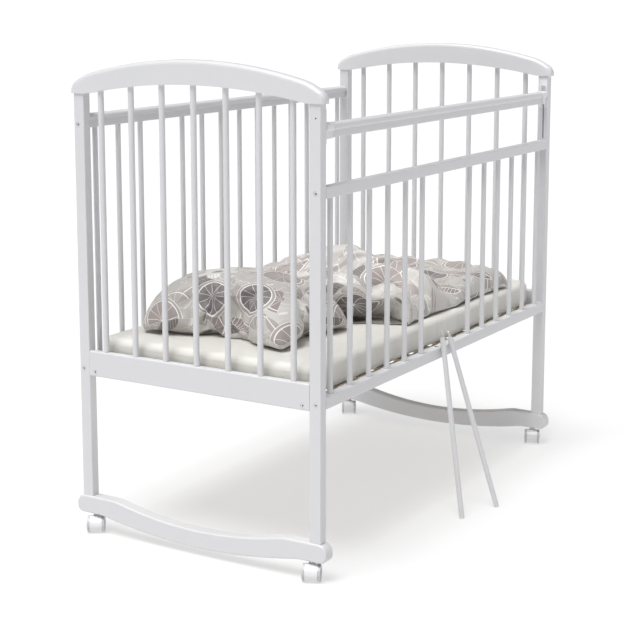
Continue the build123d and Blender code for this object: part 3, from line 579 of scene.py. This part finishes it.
mattressLook = {"step": 0.0065, "edgeRadius": 0.016, "cornerRadius": 0.034, "channelPitch": 0.0585,
                "channelDepth": 0.0020, "sideRows": 10, "edgeRows": 6, "crown": 0.0022, "quilt": 0.117,
                "quiltDepth": 0.0012}


def quiltedMattress(look):
    low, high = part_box("mattress")
    middle = (low + high) / 2
    edge, corner = look["edgeRadius"], look["cornerRadius"] - look["edgeRadius"]
    reach = [(high[axis] - low[axis]) / 2 - edge for axis in (0, 1)]
    columns, rows = (int(round(2 * reach[axis] / look["step"])) for axis in (0, 1))

    def outline(x, y):
        # the square grid with its corners turned round
        over = [max(0, abs(value) - (reach[axis] - corner)) / corner for axis, value in enumerate((x, y))]
        if min(over) > 0:
            inner = [math.copysign(reach[axis] - corner, (x, y)[axis]) for axis in (0, 1)]
            x = inner[0] + math.copysign(corner * over[0] * math.sqrt(1 - over[1] ** 2 / 2), x)
            y = inner[1] + math.copysign(corner * over[1] * math.sqrt(1 - over[0] ** 2 / 2), y)
        return x, y

    def face(i, j, side):
        x, y = outline((2 * i / columns - 1) * reach[0], (2 * j / rows - 1) * reach[1])
        rim = min(1, (reach[0] - abs(x)) / 0.05) * min(1, (reach[1] - abs(y)) / 0.05)
        a = math.sin(math.pi * (x + y) / look["quilt"])
        b = math.sin(math.pi * (x - y) / look["quilt"])
        tuft = 1 - (abs(a * b)) ** 0.35
        height = look["crown"] * rim - look["quiltDepth"] * tuft * rim
        z = high.z + height - look["crown"] if side > 0 else low.z
        return middle.x + x, middle.y + y, z

    count = (columns + 1) * (rows + 1)
    points = [face(i, j, 1) for i in range(columns + 1) for j in range(rows + 1)]
    points += [face(i, j, -1) for i in range(columns + 1) for j in range(rows + 1)]
    faces = gridFaces(columns, rows, lambda i, j: i * (rows + 1) + j)
    faces += gridFaces(columns, rows, lambda i, j: count + i * (rows + 1) + j, flip=True)
    border = [i * (rows + 1) + j for i, j in borderCells(columns, rows)]
    turns = []
    length = 0
    for index, here in enumerate(border):
        x, y = (points[here][axis] - middle[axis] for axis in (0, 1))
        core = [max(-reach[axis] + corner, min(reach[axis] - corner, value)) for axis, value in enumerate((x, y))]
        out = Vector((x - core[0], y - core[1]))
        turns.append((Vector((x, y)), out.normalized(), length))
        following = points[border[(index + 1) % len(border)]]
        length += math.hypot(following[0] - points[here][0], following[1] - points[here][1])
    channels = round(length / look["channelPitch"])
    profile = []
    for step in range(1, look["edgeRows"] + 1):
        turn = math.pi / 2 * step / look["edgeRows"]
        profile.append((edge * math.sin(turn), high.z - look["crown"] - edge + edge * math.cos(turn)))
    side = (profile[-1][1], low.z + edge)
    for step in range(1, look["sideRows"]):
        profile.append((edge, side[0] + (side[1] - side[0]) * step / look["sideRows"]))
    for step in range(look["edgeRows"]):
        turn = math.pi / 2 * (1 - step / look["edgeRows"])
        profile.append((edge * math.sin(turn), low.z + edge - edge * math.cos(turn)))
    last = border
    rings = []
    for out, z in profile:
        share = math.sin(math.pi * min(1, max(0, (z - low.z) / (high.z - low.z)))) ** 0.5
        ring = []
        for place, away, along in turns:
            swell = abs(math.sin(math.pi * channels * along / length)) ** 0.45
            spot = place + away * (out - look["channelDepth"] * (1 - swell) * share)
            ring.append(len(points))
            points.append((middle.x + spot.x, middle.y + spot.y, z))
        for k in range(len(border)):
            m = (k + 1) % len(border)
            faces.append([last[k], ring[k], ring[m], last[m]])
        last = ring
        rings.append(ring)
    for k in range(len(border)):
        m = (k + 1) % len(border)
        faces.append([last[k], border[k] + count, border[m] + count, last[m]])
    seams = [[points[k] for k in rings[step]] for step in (look["edgeRows"] - 1, -look["edgeRows"])]
    return newPiece("mattress_quilted", points, faces, finishes["cover"]), seams


mattress, mattressSeams = quiltedMattress(mattressLook)
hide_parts("mattress")
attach(mattress, "mattress")
stitched("mattress_top_seam", mattressSeams[0], finishes["cover"], "mattress")
stitched("mattress_bottom_seam", mattressSeams[1], finishes["cover"], "mattress")
print("mattress quilted")
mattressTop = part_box("mattress")[1].z

pillowLook = {"flat": (0.385, 0.515), "step": 0.0065, "start": 0.012,
              "quality": 7, "mass": 0.25, "tension": 12, "shear": 6, "bending": 0.35, "drag": 1.0,
              "pressure": 5.5, "growth": 0.0, "frames": 34, "under": 0.62, "droop": 0.05,
              "lift": -0.045, "tuck": 0.012, "fullness": 0.68}


def inflatedPillow(look):
    low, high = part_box("pillow")
    middle = (low + high) / 2
    columns, rows = (int(round(look["flat"][axis] / look["step"])) for axis in (0, 1))

    def flatSheet(u, v, side):
        x, y = 2 * u - 1, 2 * v - 1
        x, y = x * math.sqrt(1 - 0.24 * y ** 4), y * math.sqrt(1 - 0.20 * x ** 4)
        puff = look["start"] * (1 - x ** 4) * (1 - y ** 4) * side
        return middle.x + x * look["flat"][0] / 2, middle.y + y * look["flat"][1] / 2, puff

    cloth = printedSateen("printed_sateen_pillow", (0.31, 0.17, 0))
    piece, border = sewnBag("pillow_sateen", columns, rows, look["flat"], flatSheet, cloth)
    points = simulate(piece, look)
    centre = (points.max(0) + points.min(0)) / 2
    points = points - centre
    size = points.max(0) - points.min(0)
    points[:, 0] *= (high.x - low.x) / size[0]
    points[:, 1] *= (high.y - low.y) / size[1]
    flatness = np.where(points[:, 2] > 0, 1.0, look["under"])
    reach = size[2] / 2
    points[:, 2] = np.sign(points[:, 2]) * reach * (abs(points[:, 2]) / reach) ** look["fullness"]
    tall = high.z - low.z
    points[:, 2] *= flatness * tall * 0.72 / (size[2] / 2)
    farOut = (abs(points[:, 0]) / (high.x - low.x) * 2) ** 3 * (abs(points[:, 1]) / (high.y - low.y) * 2) ** 3
    fullCorner = farOut * (points[:, 0] < 0) * (points[:, 1] > 0)
    points[:, 2] += look["lift"] * fullCorner - look["droop"] * (farOut - fullCorner)
    points[:, 0] += look["tuck"] * fullCorner
    points[:, 1] -= look["tuck"] * fullCorner
    points += np.array([middle.x, middle.y, low.z + tall * 0.28])
    points = restOn(points, mattressTop + 0.0008, 0.004)
    writePoints(piece.data, points)
    roundOff(piece, 1)
    return piece, border


pillow, pillowSeam = inflatedPillow(pillowLook)
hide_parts("pillow")
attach(pillow, "pillow")
stitched("pillow_seam", readPoints(pillow.data)[pillowSeam], finishes["thread"], "pillow")
print("pillow filled", [round(v, 3) for v in readPoints(pillow.data).min(0)],
      [round(v, 3) for v in readPoints(pillow.data).max(0)])

# Each section is a line of (x, height) over the mattress in millimetres, from the head side to the foot side.
duvetLook = {"flat": (0.98, 0.62), "step": 0.0085,
             "quality": 5, "mass": 0.3, "tension": 10, "shear": 5, "bending": 0.12, "drag": 1.0,
             "pressure": 1.2, "growth": 0.07, "frames": 22, "cap": 0.012, "folds": 0.024,
             "waves": 0.010, "sway": 0.030, "heapEnd": 0.17, "heapTurn": 0.12, "crest": 0.006, "rim": 0.06}
duvetSections = (
    (0.00, ((-92, 4), (-120, 18), (-112, 42), (-84, 56), (-54, 44), (-36, 28), (-6, 44), (34, 66), (82, 58),
            (122, 42), (176, 46), (246, 46), (342, 46), (446, 46), (462, 4))),
    (0.12, ((-84, 4), (-124, 30), (-142, 62), (-116, 88), (-72, 78), (-46, 40), (-18, 54), (34, 88), (84, 80),
            (124, 52), (178, 50), (252, 50), (346, 48), (448, 47), (463, 4))),
    (0.32, ((-118, 4), (-164, 30), (-200, 66), (-188, 98), (-138, 106), (-92, 76), (-50, 84), (10, 112), (80, 106),
            (124, 72), (180, 54), (256, 52), (350, 50), (450, 49), (464, 4))),
    (0.54, ((-140, 4), (-176, 34), (-204, 70), (-184, 98), (-128, 104), (-80, 88), (-24, 98), (56, 122), (124, 122),
            (178, 82), (224, 56), (282, 52), (358, 50), (450, 50), (464, 4))),
    (0.78, ((-150, 4), (-184, 30), (-196, 58), (-158, 78), (-102, 76), (-56, 64), (0, 80), (76, 98), (140, 84),
            (186, 60), (230, 52), (286, 50), (360, 49), (450, 48), (464, 4))),
    (1.00, ((-160, 4), (-182, 26), (-172, 48), (-130, 58), (-76, 52), (-50, 46), (0, 56), (60, 56), (110, 48),
            (150, 44), (206, 44), (280, 44), (360, 44), (446, 44), (462, 4))),
)


def splineAt(values, share):
    spot = share * (len(values) - 1)
    k = min(int(spot), len(values) - 2)
    t = spot - k
    a, b, c, d = (np.asarray(values[min(max(k + step, 0), len(values) - 1)], float) for step in (-1, 0, 1, 2))
    return 0.5 * (2 * b + (c - a) * t + (2 * a - 5 * b + 4 * c - d) * t * t + (3 * b - a - 3 * c + d) * t ** 3)


def heapedDuvet(look):
    low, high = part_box("duvet")
    columns, rows = (int(round(look["flat"][axis] / look["step"])) for axis in (0, 1))
    places = [section[0] for section in duvetSections]
    lines = np.array([section[1] for section in duvetSections], float) / 1000

    def section(v):
        k = min(max(1, sum(place <= v for place in places)), len(places) - 1)
        t = (v - places[k - 1]) / (places[k] - places[k - 1])
        t = t * t * (3 - 2 * t)
        return lines[k - 1] * (1 - t) + lines[k] * t

    def shape(u, v, side):
        line = section(v)
        x, height = splineAt(line, u)
        fade = min(1, u / 0.06, (1 - u) / 0.05) * min(1, v / 0.07, (1 - v) / 0.07)
        y = low.y + (high.y - low.y) * v
        wave = noise.noise(Vector((x * 5, 1.7, 0))) * 0.014 + noise.noise(Vector((x * 13, 9.1, 0))) * 0.006
        y += wave * (1 - 2 * v)
        base = mattressTop + 0.002
        rim = math.sqrt(max(0, 1 - (1 - min(1, v / look["rim"], (1 - v) / look["rim"])) ** 2))
        if side < 0:
            return x, y, base
        heap = min(1, max(0, (look["heapEnd"] - x) / look["heapTurn"]))
        bend = noise.noise(Vector((x * 4, y * 4, 3)))
        warp = Vector((x * 7 + 2.4 * bend, y * 5.2 + 1.5 * bend, height * 6))
        billow = 1 - abs(noise.noise(warp)) * 2.6
        billow += (1 - abs(noise.noise(warp * 2.1 + Vector((7, 1, 0)))) * 3) * 0.55
        long = 1 - abs(noise.noise(Vector((x * 2.6 + bend, y * 15, 4.2)))) * 3
        lift = (look["folds"] * heap * (0.45 - billow) - look["waves"] * (1 - heap) * (long - 0.35)) * fade
        lift = min(lift, look["crest"] + 0.3 * max(0, lift - look["crest"]))
        sideways = look["sway"] * heap * noise.noise(warp * 1.3 + Vector((3, 8, 2))) * fade
        return x + sideways, y, base + max(0.003, height * (0.16 + 0.84 * rim) + lift * min(1, height / 0.04))

    cloth = printedSateen("printed_sateen_duvet", (1.4, 0.6, 0))
    piece, border = sewnBag("duvet_sateen", columns, rows, look["flat"], shape, cloth)
    start = readPoints(piece.data)
    pinned = range((columns + 1) * (rows + 1), len(start))
    points = capped(start, simulate(piece, look, pinned), look["cap"])
    points = restOn(points, mattressTop + 0.0008, 0.003)
    writePoints(piece.data, points)
    roundOff(piece, 1)
    return piece, border


duvet, duvetSeam = heapedDuvet(duvetLook)
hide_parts("duvet")
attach(duvet, "duvet")
stitched("duvet_seam", readPoints(duvet.data)[duvetSeam], finishes["thread"], "duvet")
print("duvet heaped", [round(v, 3) for v in readPoints(duvet.data).min(0)],
      [round(v, 3) for v in readPoints(duvet.data).max(0)])

roomLook = {"floor": (0.36, 0.36, 0.364), "floorGlow": 0.55, "horizon": 1.06, "sky": 0.10, "zenith": 0.8,
            "sun": {"from": (-0.37, 0.04, 0.93), "strength": 3.1, "angle": 0.6}}


def room(look):
    bpy.ops.mesh.primitive_circle_add(vertices=64, radius=45, fill_type="NGON", location=(0, 0, 0))
    floor = bpy.context.object
    floor.name = "studio_floor"
    paper = Finish("pale_floor")
    grain = paper.noise(paper.place(), 30, 3)
    floor.data.materials.append(paper.cover(
        colour=paper.mix(grain, [value * 0.99 for value in look["floor"]], look["floor"]), roughness=0.9,
        specular=0.1, glow=(1, 1, 1), glowStrength=look["floorGlow"]))

    # the sky is bright at the horizon and overhead, and dim between
    world = bpy.data.worlds.new("studio")
    world.use_nodes = True
    scene.world = world
    sky = Finish("sky", world.node_tree)
    towards = sky.add("ShaderNodeTexCoord", output="Generated")
    axes = sky.add("ShaderNodeSeparateXYZ", {}, {0: towards}).other("Z")
    low = sky.mix(sky.ramp(axes, 0.05, 0.16), [look["horizon"]] * 3, [look["sky"]] * 3)
    sky.feed(world.node_tree.nodes["Background"].inputs["Color"],
             sky.mix(sky.ramp(axes, 0.55, 0.85), low, [look["zenith"]] * 3))

    sun = bpy.data.lights.new("sun", "SUN")
    sun.energy = look["sun"]["strength"]
    sun.angle = look["sun"]["angle"]
    light = bpy.data.objects.new("sun", sun)
    light.rotation_euler = Vector(look["sun"]["from"]).to_track_quat("Z", "Y").to_euler()
    scene.collection.objects.link(light)


cameraLook = {"spot": (-3.3999, -1.9466, 1.3029), "yaw": 31.03, "pitch": 9.185, "lens": 86.307, "shift": -0.13}


def photographer(look):
    lens = bpy.data.cameras.new("camera")
    lens.lens = look["lens"]
    lens.sensor_width = 36
    lens.shift_y = look["shift"]
    lens.clip_end = 200
    camera = bpy.data.objects.new("camera", lens)
    camera.location = look["spot"]
    camera.rotation_euler = (math.radians(90 - look["pitch"]), 0, math.radians(look["yaw"] - 90))
    scene.collection.objects.link(camera)
    scene.camera = camera


room(roomLook)
photographer(cameraLook)
scene.view_settings.view_transform = "Standard"
print("room lit")
